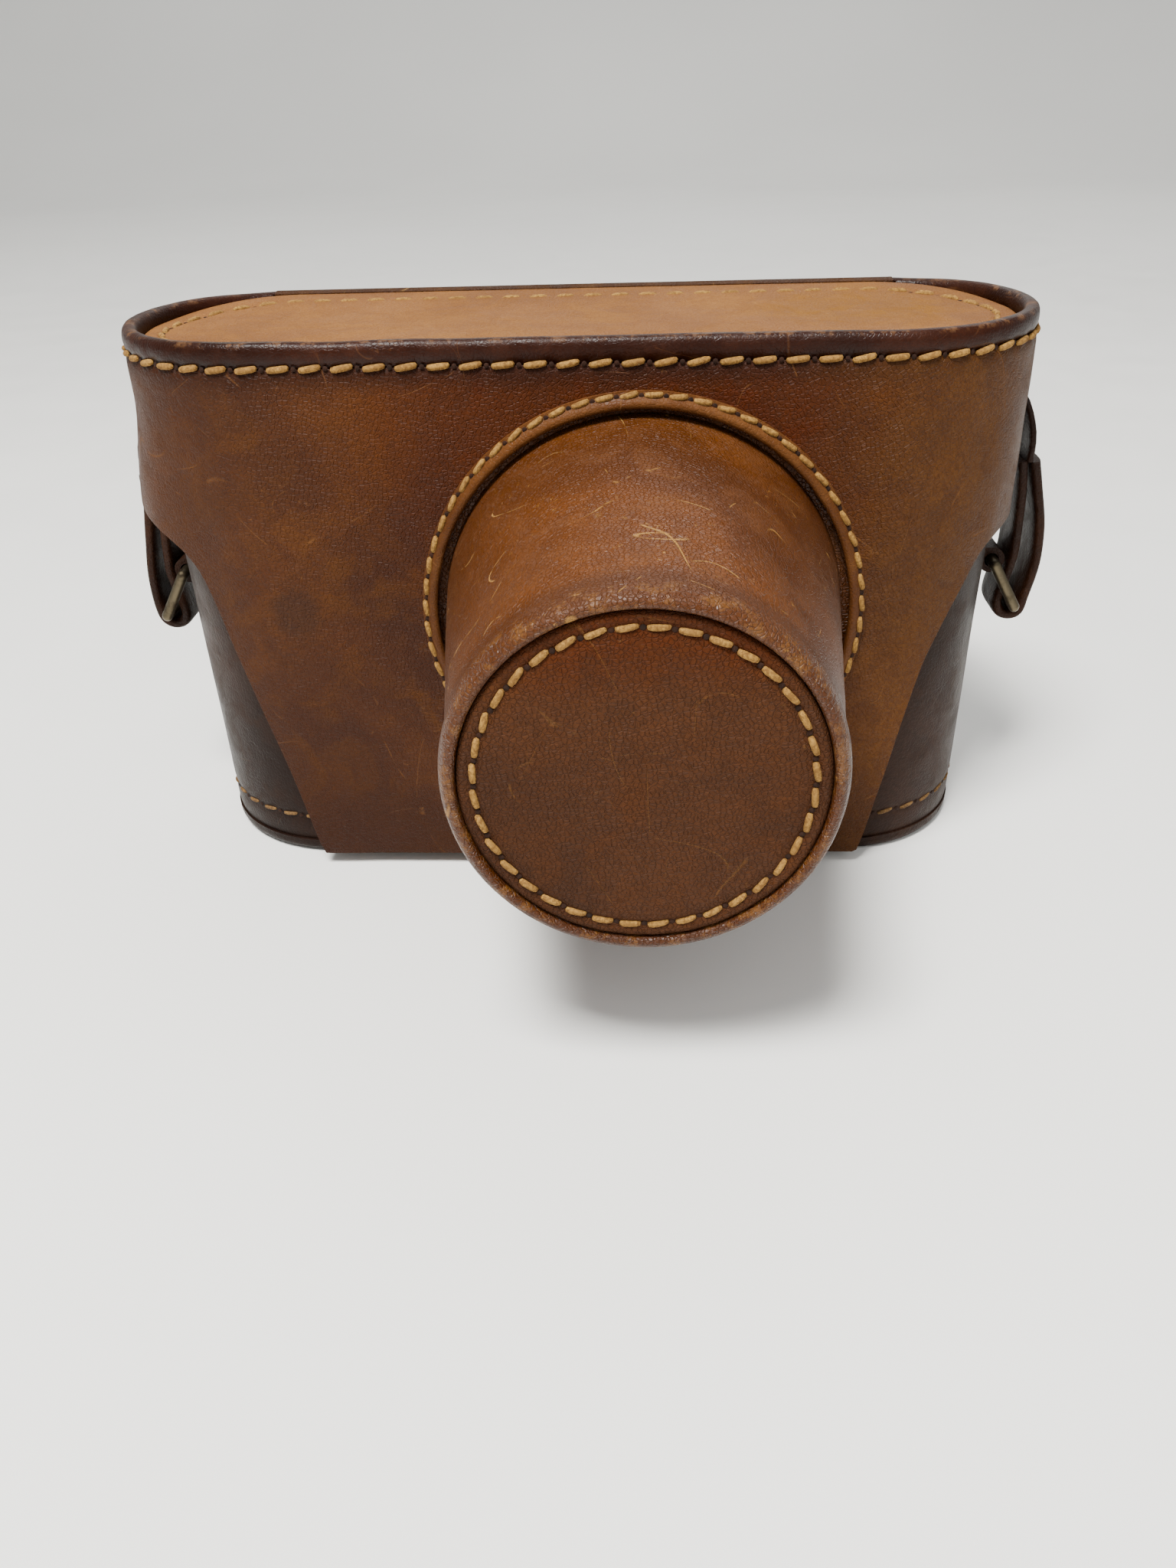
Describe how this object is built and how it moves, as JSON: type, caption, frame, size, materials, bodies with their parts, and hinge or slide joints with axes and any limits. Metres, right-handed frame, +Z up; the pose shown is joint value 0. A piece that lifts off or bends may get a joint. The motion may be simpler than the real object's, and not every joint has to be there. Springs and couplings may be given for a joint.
{
  "type": "camera in ever-ready case",
  "caption": "Rangefinder film camera in a stitched leather ever-ready case with projecting lens nose, hinged front cover, strap rings and base screw.",
  "frame": {"origin": "middle of the case on the table plane, in the flat face of the base", "axes": "+Z up, -Y towards the lens nose, +X to the viewer's right"},
  "size_m": [0.1706, 0.1596, 0.0943],
  "materials": {
    "cover_leather": "worn saddle leather",
    "top_leather": "lighter worn leather",
    "rim_leather": "polished dark edge",
    "case_leather": "dark smooth leather",
    "nose_leather": "scuffed leather",
    "strap_leather": "dark leather",
    "thread": "waxed linen thread",
    "velvet": "napped lining",
    "case_metal": "tarnished",
    "camera_metal": "satin chrome",
    "camera_black": "black enamel",
    "leatherette": "grained covering",
    "glass": "coated glass",
    "film": "film base",
    "steel": "blued steel"
  },
  "bodies": {
    "lower_case": {"lower_case_wrap": "case_leather", "lower_case_base": "case_leather", "base_eyelet": "case_metal", "lower_case_stitching": "thread", "lower_case_lining": "velvet", "strap_tab_left": "strap_leather", "strap_tab_right": "strap_leather", "tab_rivet_left": "case_metal", "tab_rivet_right": "case_metal", "neck_strap": "strap_leather", "hinge_flap": "top_leather", "hinge_flap_stitching": "thread", "snap_stud": "case_metal", "camera_body": "camera_black", "tripod_bush": "camera_metal", "camera_leatherette": "leatherette", "camera_top_cover": "camera_metal", "viewfinder_windows": "glass", "accessory_shoe": "camera_metal", "pressure_plate": "camera_black", "film_strip": "film", "film_cassette": "camera_black", "lens_flange": "camera_metal", "flange_screws": "camera_metal", "shutter_housing": "camera_metal", "lens_name_ring": "camera_black", "lens_barrel": "camera_metal", "lens_elements": "glass", "iris_blades": "steel", "release_spring_cup": "camera_black", "film_sprocket": "camera_metal"},
    "front_cover": {"cover_wrap": "cover_leather", "cover_rim": "rim_leather", "cover_top_plate": "top_leather", "cover_lining": "velvet", "rim_stitching": "thread", "top_stitching": "thread", "nose_collar": "cover_leather", "collar_stitching": "thread", "nose_tube": "nose_leather", "nose_end_disc": "nose_leather", "disc_stitching": "thread", "snap_socket": "case_metal", "snap_cap": "case_metal"},
    "ring_left": {"ring_left": "case_metal", "strap_end_left": "strap_leather"},
    "ring_right": {"ring_right": "case_metal", "strap_end_right": "strap_leather"},
    "retaining_screw": {"retaining_screw": "case_metal"},
    "wind_knob": {"wind_knob": "camera_metal", "take_up_spool": "camera_black"},
    "rewind_knob": {"rewind_knob": "camera_metal"},
    "release_button": {"release_button": "camera_metal"},
    "aperture_ring": {"aperture_ring": "camera_metal"},
    "focus_ring": {"focus_ring": "camera_metal"}
  },
  "joints": [
    {"name": "cover_hinge", "type": "hinge", "parent": "lower_case", "child": "front_cover", "pos_m": [0, 0.027, 0.091], "axis": [-1, 0, 0], "range_deg": [0, 180], "deforming": ["hinge_flap"]},
    {"name": "ring_left_swing", "type": "hinge", "parent": "lower_case", "child": "ring_left", "pos_m": [-0.076, 0.0065, 0.0476], "axis": [0, 1, 0], "range_deg": [-20, 30], "deforming": ["strap_end_left"]},
    {"name": "ring_right_swing", "type": "hinge", "parent": "lower_case", "child": "ring_right", "pos_m": [0.076, 0.0065, 0.0476], "axis": [0, -1, 0], "range_deg": [-20, 30], "deforming": ["strap_end_right"]},
    {"name": "retaining_screw_turn", "type": "hinge", "parent": "lower_case", "child": "retaining_screw", "pos_m": [0.034, -0.005, 0], "axis": [0, 0, 1], "continuous": true},
    {"name": "wind_knob_turn", "type": "hinge", "parent": "lower_case", "child": "wind_knob", "pos_m": [-0.048, 0.003, 0.08], "axis": [0, 0, 1], "continuous": true},
    {"name": "rewind_knob_turn", "type": "hinge", "parent": "lower_case", "child": "rewind_knob", "pos_m": [0.052, 0.003, 0.08], "axis": [0, 0, 1], "continuous": true},
    {"name": "release_button_press", "type": "slide", "parent": "lower_case", "child": "release_button", "axis": [0, 0, -1], "range_m": [0, 0.002], "stiffness_N_per_m": 400, "springref_m": -0.001},
    {"name": "aperture_ring_turn", "type": "hinge", "parent": "lower_case", "child": "aperture_ring", "pos_m": [0.011, -0.024, 0.046], "axis": [0, 1, 0], "range_deg": [0, 90]},
    {"name": "focus_ring_turn", "type": "hinge", "parent": "lower_case", "child": "focus_ring", "pos_m": [0.011, -0.032, 0.046], "axis": [0, 1, 0], "range_deg": [0, 170]}
  ]
}
